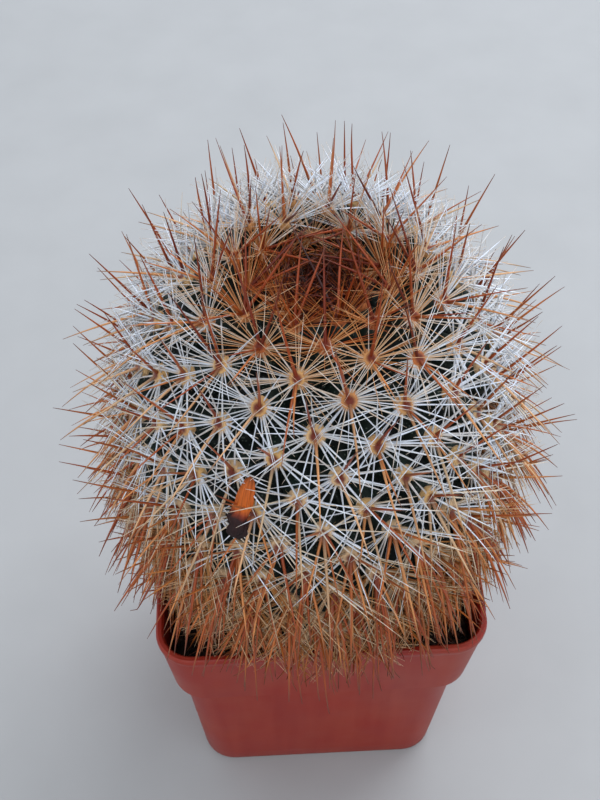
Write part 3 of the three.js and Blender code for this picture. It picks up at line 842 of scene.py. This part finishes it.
sides = grow_spines(
    "side_central_spines", above_rim, CENTRAL_HORN,
    {
        "count": [(0, 1), (18, 0.8), (24, 0.3), (34, 0.4), (44, 2.6), (52, 4.4), (NECK_AGE, 5)],
        "fan": [(0, 300), (36, 260), (44, 100), (54, 50), (NECK_AGE, 60)],
        "lift": [(0, 60), (30, 60), (40, 50), (48, 38), (NECK_AGE, 34)],
        "long": [(0, 0.7), (16, 0.9), (NECK_AGE, 1)],
        "shade": [(0, 0.25), (16, 0.4), (42, 0.66), (54, 0.46), (NECK_AGE, 0.42)],
        "droop": [(0, 0), (36, 0.03), (44, 0.15), (54, 0.36), (NECK_AGE, 0.3)],
        "thick": [(0, 0.8), (44, 1), (54, 1.3), (NECK_AGE, 1.35)],
    },
    Length=11.6, LengthSpread=0.24, Thickness=0.4, Bulb=0.5, FootRing=0.3, FootHeight=0.4,
    FanCentre=180, Sideways=0.0, Wobble=13, LiftSpread=12, ShadeSpread=0.22, Sway=0.07,
    Sides=4, Segments=6, Seed=55,
)
finish_piece(sides, "spines")

# %% [markdown]
# ## Crown tuft
#
# At the apex the youngest areoles crowd together. Their radials go from maroon to orange and are
# half grown, and their centrals stand up dark maroon and cross over the dimple like a small thatch.
# It is the same tree again, with more and shorter spines.

# %% Grow the crown tuft
crown_fans = grow_spines(
    "crown_radial_spines", crown, RADIAL_HORN, RADIAL_TRAITS,
    Length=8.0, LengthSpread=0.25, Thickness=0.3, Bulb=0.4, FootRing=0.3, FootHeight=0.3,
    FanCentre=180, Sideways=0.0, Wobble=16, LiftSpread=22, ShadeSpread=0.05, Sway=0.18,
    Sides=3, Segments=4, Seed=8,
)
finish_piece(crown_fans, "young_spines")

crown_centrals = grow_spines(
    "crown_central_spines", crown, CENTRAL_HORN,
    {
        "count": [(0, 24), (4, 14), (7, 6), (10, 2)],
        "fan": [(0, 340), (9, 240)],
        "lift": [(0, 66), (5, 58), (9, 56)],
        "shade": [(0, 0.0), (5, 0.05), (10, 0.2)],
        "long": [(0, 0.72), (5, 0.75), (9, 1.05)],
        "thick": [(0, 0.8), (6, 0.8), (9, 1.1)],
    },
    Length=10.5, LengthSpread=0.25, Thickness=0.3, Bulb=0.5, FootRing=0.3, FootHeight=0.3,
    FanCentre=0, Sideways=0.0, Wobble=30, LiftSpread=18, ShadeSpread=0.1, Sway=0.16,
    Sides=4, Segments=6, Seed=13,
)
finish_piece(crown_centrals, "young_spines", "crown_tuft")

# %% [markdown]
# ## Areole wool
#
# Under its spines each areole is a pad of short matted wool: cream yellow, 3 mm wide, with a dark
# red-brown heart where the centrals come out. A lumpy dome gives the pad its body, and many short
# curly fibres over it give the felted edge. Fibres alone would let the green show through.

# %% Wool material and pad tree
def wool_material(name, heart_tint):
    """Matted plant wool: dull cream felt with no gleam, and a heart of another colour."""
    material, tree, shader = new_material(name)
    chart = add(tree, "ShaderNodeUVMap", uv_map="OFBake")
    column, way, _ = add(tree, "ShaderNodeSeparateXYZ", [chart]).outputs
    felt = set_stops(add(tree, "ShaderNodeValToRGB", [column]), [
        (0.0, "#8a3a14"), (0.25, "#bc6c34"), (0.45, "#dcb070"), (0.65, "#dcba90"), (1.0, "#b08a62"),
    ])
    heart = add(tree, RANGE, [way, 0.08, 0.24, 1.0, 0.0], interpolation_type="SMOOTHSTEP")
    tint = add(tree, MIX, [heart, felt, heart_tint], data_type="RGBA")
    fill(tree, shader, {"Base Color": tint, "Roughness": 0.9, "Sheen Weight": 0.3})
    return material


def wool_tree():
    tree, given = new_tree(
        "wool_pads", Width="Float", Height="Float", Lumps="Float", Material="Material"
    )
    numbers = ("size", "twist", "shade", "way")
    trait = {name: add(tree, READ, [name], data_type="FLOAT") for name in numbers}
    directions = ("outward", "crownward")
    axes = [add(tree, READ, [name], data_type="FLOAT_VECTOR") for name in directions]

    # A ball that knows the way from its top to its foot, on each areole.
    ball = add(tree, "GeometryNodeMeshUVSphere", [10, 6, 0.5])
    _, _, up = add(tree, "ShaderNodeSeparateXYZ", [add(tree, "GeometryNodeInputPosition")]).outputs
    polar = add(tree, MATH, [up, 2.0], operation="MULTIPLY")
    polar = add(tree, MATH, [polar], operation="ARCCOSINE")
    away = add(tree, MATH, [polar, math.pi], operation="DIVIDE")
    ball = add(tree, STORE, [ball, None, "way", away], data_type="FLOAT", domain="POINT")
    shape = add(tree, "ShaderNodeCombineXYZ", [given["Width"], given["Width"], given["Height"]])
    pads = add(tree, "GeometryNodeInstanceOnPoints", {
        "Points": given["Geometry"],
        "Instance": ball,
        "Rotation": add(tree, "FunctionNodeAxesToRotation", axes),
        "Scale": add(tree, VECTOR, [shape, trait["size"]], operation="SCALE"),
    })

    # Lumps, and each pad's place on the colour chart.
    wool = add(tree, "GeometryNodeRealizeInstances", [pads])
    lumps = add(tree, NOISE, {"Scale": 900.0, "Detail": 2.0})
    swell = add(tree, MATH, [lumps, 0.5], operation="SUBTRACT")
    swell = add(tree, MATH, [swell, given["Lumps"]], operation="MULTIPLY")
    push = add(tree, VECTOR, [add(tree, "GeometryNodeInputNormal"), swell], operation="SCALE")
    wool = add(tree, "GeometryNodeSetPosition", {"Geometry": wool, "Offset": push})
    shade = add(tree, MATH, [trait["twist"], 0.12, trait["shade"]], operation="MULTIPLY_ADD")
    chart = add(tree, "ShaderNodeCombineXYZ", [shade, trait["way"]])
    wool = add(tree, STORE, [wool, None, "OFBake", chart], data_type="FLOAT2", domain="CORNER")
    end_tree(tree, wool, given["Material"])
    return tree


# %% Make the wool
WOOL_SHADE = [(0, 0.05), (RING_AGE, 0.2), (22, 0.45), (40, 0.55), (WIDEST_AGE, 0.7), (NECK_AGE, 0.85)]
pads = grow(
    "wool_pads", wool_tree(), areole_mesh("wool", crown + above_rim, shade=WOOL_SHADE),
    Width=3.2 * MM, Height=1.9 * MM, Lumps=0.5 * MM,
    Material=wool_material("felted_areole_wool", "#6a2410"),
)
finish_piece(pads, "spines")

fibres = grow_spines(
    "wool_fibres", crown + above_rim, wool_material("loose_areole_wool", "#b98f5a"),
    {"count": [(0, 34)], "fan": [(0, 360)], "lift": [(0, 34)], "shade": WOOL_SHADE, "bow": [(0, -0.3)]},
    Length=1.25, LengthSpread=0.4, Thickness=0.08, Bulb=0.0, FootRing=0.8, FootHeight=0.4,
    FanCentre=0, Sideways=0.0, Wobble=30, LiftSpread=36, ShadeSpread=0.12, Sway=0.5,
    Sides=3, Segments=2, Seed=89,
)
finish_piece(fibres, "spines")

# %% [markdown]
# ## Nursery pot
#
# The pot is injection-moulded polypropylene in terracotta red, 55 mm wide and 1.2 mm thick, with a
# wider band below its rim and drain holes in its floor. Its sections are all rounded squares, so
# the shell is a stack of loops: up the outside, over the lip, down the inside and across the floor.
# A box with Bevel and Solidify would have the same outline, but not the step under the band.

# %% Rounded-square loops
CORNER_STEPS = 10
CORNER_RADIUS = 6.0


def square_loop(height, half, inset=0.0):
    """Points of a rounded square in mm, anticlockwise from above, at a height and half width."""
    radius = max(CORNER_RADIUS - inset, 0.4)
    side = half - inset - radius
    loop = []
    for corner, (sx, sy) in enumerate([(1, 1), (-1, 1), (-1, -1), (1, -1)]):
        for step in range(CORNER_STEPS + 1):
            angle = math.pi / 2 * (corner + step / CORNER_STEPS)
            x = sx * side + radius * math.cos(angle)
            y = sy * side + radius * math.sin(angle)
            loop.append((x, y, height))
    return loop


def loft(name, loops, material):
    """A closed skin over loops with the same number of points, capped at both ends, in metres."""
    model = bmesh.new()
    rings = [[model.verts.new(Vector(point) * MM) for point in loop] for loop in loops]
    for low, high in zip(rings, rings[1:]):
        for k in range(len(low)):
            after = (k + 1) % len(low)
            model.faces.new((low[k], low[after], high[after], high[k]))
    model.faces.new(rings[0][::-1])
    model.faces.new(rings[-1])
    mesh = bpy.data.meshes.new(name)
    model.to_mesh(mesh)
    model.free()
    return place(name, mesh, material)


# %% Pot material
def moulded_polypropylene():
    """Polypropylene, injection moulded: satin, slightly cloudy, with faint upright flow lines."""
    material, tree, shader = new_material("moulded_polypropylene")
    where = add(tree, "ShaderNodeTexCoord").outputs["Object"]
    clouds = add(tree, NOISE, {"Vector": where, "Scale": 55.0, "Detail": 3.0})
    upright = add(tree, "ShaderNodeMapping", {"Vector": where, "Scale": (420.0, 420.0, 18.0)})
    lines = add(tree, NOISE, {"Vector": upright, "Scale": 1.0, "Detail": 2.0})
    faint = add(tree, RANGE, [lines, 0.35, 0.75, 0.0, 0.22])
    dust = add(tree, NOISE, {"Vector": where, "Scale": 95.0, "Detail": 4.0, "Roughness": 0.6})
    dusty = add(tree, RANGE, [dust, 0.42, 0.7, 0.0, 0.28])
    tint = add(tree, MIX, [clouds, "#7a160a", "#8c2112"], data_type="RGBA")
    for amount, stain in ((faint, "#a8452f"), (dusty, "#94442a")):
        tint = add(tree, MIX, [amount, tint, stain], data_type="RGBA")
    sheen = add(tree, RANGE, [clouds, 0.3, 0.7, 0.34, 0.5])
    fine = add(tree, NOISE, {"Vector": where, "Scale": 1400.0, "Detail": 2.0})
    skin = add(tree, "ShaderNodeBump", {"Strength": 0.12, "Distance": 0.00006, "Height": fine})
    fill(tree, shader, {"Base Color": tint, "Roughness": sheen, "Normal": skin, "IOR": 1.49,
                        "Specular IOR Level": 0.3, "Subsurface Weight": 0.12,
                        "Subsurface Radius": (0.002, 0.0006, 0.0004)})
    return material


# %% Make the pot
BAND_FOOT = rim_z - 16.0
BAND_FOOT_HALF = rim_half - 1.5
WALL_TOP_HALF = BAND_FOOT_HALF - 1.4
STEP_FOOT = BAND_FOOT - 1.6
WALL = 1.2
FLOOR = 1.6
FOOT_HALF = WALL_TOP_HALF - 2.3
DRAIN_RADIUS = 3.0
DRAIN_OFFSET = 12.0
SHARP_EDGE = math.radians(35)


def wall_half(z):
    """Half the pot's outer width at a height."""
    heights = [0.0, STEP_FOOT, BAND_FOOT, rim_z]
    return float(np.interp(z, heights, [FOOT_HALF, WALL_TOP_HALF, BAND_FOOT_HALF, rim_half]))


def pot_loops():
    """Sections of the shell from the middle of its underside, round the rim, to the floor inside."""
    # The walls follow the taper. The foot, the lip and the floor are given as height and inset.
    foot = [(0, 0.9), (0, 0.5), (0.25, 0.12)]
    step = (STEP_FOOT, STEP_FOOT + 0.3, BAND_FOOT - 0.35, BAND_FOOT, BAND_FOOT + 0.35)
    up_wall = [0.7, *np.linspace(4, STEP_FOOT - 0.5, 6), *step]
    up_wall += [*np.linspace(BAND_FOOT + 2, rim_z - 2.4, 4), rim_z - 1.7]
    lip = [(1.3, -0.05), (0.7, -0.1), (0.22, 0.0), (0, 0.25), (0, WALL - 0.35), (0.35, WALL)]
    down_wall = (rim_z - 3, BAND_FOOT + 0.4, BAND_FOOT, STEP_FOOT, STEP_FOOT - 0.4, 14, FLOOR + 0.8)
    floor = [(FLOOR + 0.2, WALL + 0.35), (FLOOR, WALL + 1.0)]
    return [
        *[square_loop(z, FOOT_HALF, inset) for z, inset in foot],
        *[square_loop(z, wall_half(z)) for z in up_wall],
        *[square_loop(rim_z - below, rim_half, inset) for below, inset in lip],
        *[square_loop(z, wall_half(z), WALL) for z in down_wall],
        *[square_loop(z, FOOT_HALF, inset) for z, inset in floor],
    ]


def cut_drain(pot, x, y):
    """Cuts a round drain hole through the floor."""
    size = {"radius1": DRAIN_RADIUS * MM, "radius2": DRAIN_RADIUS * MM, "depth": 6 * FLOOR * MM}
    model = bmesh.new()
    bmesh.ops.create_cone(model, cap_ends=True, segments=32, **size)
    bmesh.ops.translate(model, verts=model.verts, vec=Vector((x, y, 0)) * MM)
    punch_mesh = bpy.data.meshes.new("punch")
    model.to_mesh(punch_mesh)
    model.free()
    punch = place("punch", punch_mesh)
    cut = pot.modifiers.new("drain", "BOOLEAN")
    cut.object = punch
    cut.solver = "EXACT"
    evaluated = pot.evaluated_get(bpy.context.evaluated_depsgraph_get())
    cut_mesh = bpy.data.meshes.new_from_object(evaluated)
    pot.modifiers.clear()
    pot.data = cut_mesh
    bpy.data.objects.remove(punch)


pot = loft("pot_shell", pot_loops(), moulded_polypropylene())
for sx in (-1, 1):
    for sy in (-1, 1):
        cut_drain(pot, sx * DRAIN_OFFSET, sy * DRAIN_OFFSET)
pot.data.name = pot.name
pot.data.shade_smooth()
pot.data.set_sharp_from_angle(angle=SHARP_EDGE)
finish_piece(pot, "pot_plastic", "pot")

# %% [markdown]
# ## Potting soil
#
# Dark peat-based potting soil shows in the pot's corners, 7 mm below the rim. Its bed is a lofted
# block with an uneven top. Crumbs of peat and bark lie on it: one small lump is instanced on
# points scattered over the top faces, and each copy is turned, sized and dented differently.

# %% Soil material
def moist_peat():
    """Peat potting soil, sieved: near-black brown, rough, with paler fibres and dust."""
    material, tree, shader = new_material("moist_peat")
    where = add(tree, "ShaderNodeTexCoord").outputs["Object"]
    grains = {"Vector": where, "Scale": 500.0, "Detail": 6.0, "Roughness": 0.65}
    grains = add(tree, NOISE, grains)
    tint = set_stops(add(tree, "ShaderNodeValToRGB", [grains]), [
        (0.3, "#140d0a"), (0.5, "#2a1c15"), (0.68, "#4a3426"), (0.8, "#6f5640"),
    ])
    dents = add(tree, "ShaderNodeBump", {"Strength": 0.7, "Distance": 0.0004, "Height": grains})
    fill(tree, shader, {"Base Color": tint, "Roughness": 0.95, "Normal": dents})
    return material


# %% Make the soil bed
SOIL_GAP = 0.3
SOIL_FIT = WALL + SOIL_GAP + 0.15
SOIL_RINGS = 16
SOIL_DIP = 0.9  # how far the top dips below its high spots
SOIL_LOW = 0.15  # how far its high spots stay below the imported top
PEAT = moist_peat()


def soil_loops():
    """Sections of the soil from its underside, up the pot's inner wall, and in over its top."""
    heights = (FLOOR + SOIL_GAP, 12, 24, STEP_FOOT - 0.6, BAND_FOOT, soil_z - 0.8)
    loops = [square_loop(z, wall_half(z), SOIL_FIT) for z in heights]
    for ring in range(SOIL_RINGS):
        shrink = 1 - ring / SOIL_RINGS
        loop = []
        for x, y, z in square_loop(soil_z, wall_half(soil_z), SOIL_FIT + 0.15):
            x, y = x * shrink, y * shrink
            dip = SOIL_DIP * abs(noise.noise((x * 0.35, y * 0.35, 3.0)))
            loop.append((x, y, z - dip - SOIL_LOW))
        loops.append(loop)
    return loops


soil = loft("soil_bed", soil_loops(), PEAT)
soil.data.shade_smooth()
finish_piece(soil, "potting_soil", "soil")


# %% Scatter the crumbs
DENT = 1.2 * MM


def crumb_tree():
    tree, given = new_tree("soil_crumbs", Density="Float", Crumb="Float", Seed="Int", Material="Material")
    _, _, up = add(tree, "ShaderNodeSeparateXYZ", [add(tree, "GeometryNodeInputNormal")]).outputs
    spots = add(tree, "GeometryNodeDistributePointsOnFaces", {
        "Mesh": given["Geometry"],
        "Selection": add(tree, "FunctionNodeCompare", [up, 0.7], operation="GREATER_THAN"),
        "Density": given["Density"],
        "Seed": given["Seed"],
    })
    turn, size = [
        add(tree, "FunctionNodeRandomValue", limits, data_type="FLOAT_VECTOR")
        for limits in (
            {"Min": (0.0, 0.0, 0.0), "Max": (6.28, 6.28, 6.28), "Seed": 1},
            {"Min": (0.25, 0.25, 0.2), "Max": (1.0, 0.8, 0.6), "Seed": 2},
        )
    ]
    laid = add(tree, "GeometryNodeInstanceOnPoints", {
        "Points": spots,
        "Instance": add(tree, "GeometryNodeMeshIcoSphere", [1.0, 2]),
        "Rotation": turn,
        "Scale": add(tree, VECTOR, [size, given["Crumb"]], operation="SCALE"),
    })
    crumbs = add(tree, "GeometryNodeRealizeInstances", [laid])
    dents = add(tree, NOISE, {"Scale": 1500.0, "Detail": 1.0})
    depth = add(tree, MATH, [dents, -0.5], operation="ADD")
    depth = add(tree, MATH, [depth, DENT], operation="MULTIPLY")
    push = add(tree, VECTOR, [add(tree, "GeometryNodeInputNormal"), depth], operation="SCALE")
    crumbs = add(tree, "GeometryNodeSetPosition", {"Geometry": crumbs, "Offset": push})
    end_tree(tree, crumbs, given["Material"])
    return tree


crumbs = grow(
    "soil_crumbs", crumb_tree(), soil.data.copy(),
    Density=4.5e5, Crumb=0.9 * MM, Seed=SEED, Material=PEAT,
)
finish_piece(crumbs, "potting_soil")

# %% [markdown]
# ## Withered flower
#
# One flower of last season hangs in the spines at the front left: an orange papery tube about
# 9 mm long, folded flat along its length, with a shrivelled brown-black end where its petals
# dried together. It is a lofted tube whose radius is pleated, and whose end is crumpled by noise.

# %% Flower material
def dried_petals():
    """Dried flower tissue: thin orange paper with darker veins, going to brown-black at the end."""
    material, tree, shader = new_material("dried_petal_paper")
    chart = add(tree, "ShaderNodeUVMap", uv_map="OFBake")
    _, way, _ = add(tree, "ShaderNodeSeparateXYZ", [chart]).outputs
    tint = set_stops(add(tree, "ShaderNodeValToRGB", [way]), [
        (0.0, "#7a3c18"), (0.15, "#b8591c"), (0.5, "#c8621e"), (0.6, "#7c2f14"), (0.66, "#2a100f"),
        (1.0, "#180808"),
    ])
    veins = add(tree, "ShaderNodeMapping", {"Vector": chart, "Scale": (40.0, 3.0, 1.0)})
    veins = add(tree, NOISE, {"Vector": veins, "Scale": 1.0, "Detail": 4.0})
    veins = add(tree, RANGE, [veins, 0.3, 0.7, 0.6, 1.25])
    tint = add(tree, MIX, [1.0, tint, veins], data_type="RGBA", blend_type="MULTIPLY")
    fill(tree, shader, {"Base Color": tint, "Roughness": 0.6, "Specular IOR Level": 0.25,
                        "Subsurface Weight": 0.1, "Subsurface Radius": (0.001, 0.0004, 0.0002)})
    return material


# %% Make the flower
FLOWER_TURN = math.radians(-112)
FLOWER_BELOW_CROWN = 13.6
FLOWER_LIFT = 2.6
FLOWER_LENGTH = 9.4
FLOWER_RADIUS = 1.45
FLOWER_SIDES = 36
FLOWER_RINGS = 34
FLOWER_FLATNESS = 0.6
PLEATS = 6

# Along the flower, as (share of its length, value): its girth, and how crumpled it is.
GIRTH = [(0, 0.12), (0.06, 0.45), (0.2, 0.72), (0.45, 0.85), (0.6, 0.75), (0.72, 1.1), (0.86, 1.0),
         (0.96, 0.7), (1, 0.12)]
CRUMPLE = [(0, 0.08), (0.5, 0.2), (0.7, 0.8), (1, 0.9)]


def flower_line():
    """Where the flower starts in mm, and its direction: down the stem, a little out and to the left."""
    z = rim_z + STEM_HEIGHT - FLOWER_BELOW_CROWN
    spot = next(i for i, (r, h) in enumerate(outline) if r > CROWN_RING and h < z)
    (ra, za), (rb, zb) = outline[spot - 1], outline[spot]
    run = math.dist((ra, za), (rb, zb))
    out = Vector((math.cos(FLOWER_TURN), math.sin(FLOWER_TURN), 0))
    up = Vector((0, 0, 1))
    normal = out * ((za - zb) / run) + up * ((rb - ra) / run)
    down = out * ((rb - ra) / run) + up * ((zb - za) / run)
    start = out * rb + up * zb + normal * FLOWER_LIFT
    return start, (down + 0.2 * normal + 0.1 * out.cross(up)).normalized()


def flower_loops():
    """Pleated rings along the flower: swollen foot, flat tube, then a crumpled and twisted end."""
    start, direction = flower_line()
    side = direction.cross(Vector((0, 0, 1))).normalized()
    top = side.cross(direction)
    loops = []
    for way in np.linspace(0.0, 1.0, FLOWER_RINGS):
        girth = np.interp(way, *zip(*GIRTH))
        crumple = np.interp(way, *zip(*CRUMPLE))
        loop = []
        for k in range(FLOWER_SIDES):
            angle = 2 * math.pi * k / FLOWER_SIDES + 0.9 * way
            east, north = math.cos(angle), math.sin(angle)
            pleat = 1 + 0.12 * math.cos(PLEATS * angle)
            fold = noise.noise(Vector((east * 1.6, north * 1.6, way * 7)))
            radius = FLOWER_RADIUS * girth * (pleat + crumple * fold)
            spot = start + direction * (way * FLOWER_LENGTH)
            spot += side * (radius * east) + top * (FLOWER_FLATNESS * radius * north)
            loop.append(spot)
        loops.append(loop)
    return loops


def chart_tube(piece, rings, sides):
    """Unwraps a lofted tube: across the chart is round the tube, and up it is along the tube."""
    chart = piece.data.uv_layers.new(name="OFBake")
    for face in piece.data.polygons:
        columns = [piece.data.loops[corner].vertex_index % sides for corner in face.loop_indices]
        wraps = max(columns) - min(columns) > 1 and len(columns) == 4
        for corner, column in zip(face.loop_indices, columns):
            ring = piece.data.loops[corner].vertex_index // sides
            across = column + sides if wraps and column == 0 else column
            up = CHART_MARGIN + (1 - 2 * CHART_MARGIN) * ring / (rings - 1)
            chart.data[corner].uv = (across / sides, up)


flower = loft("withered_flower", flower_loops(), dried_petals())
chart_tube(flower, FLOWER_RINGS, FLOWER_SIDES)
flower.data.shade_smooth()
finish_piece(flower, "papery_flower", "dried_flower")
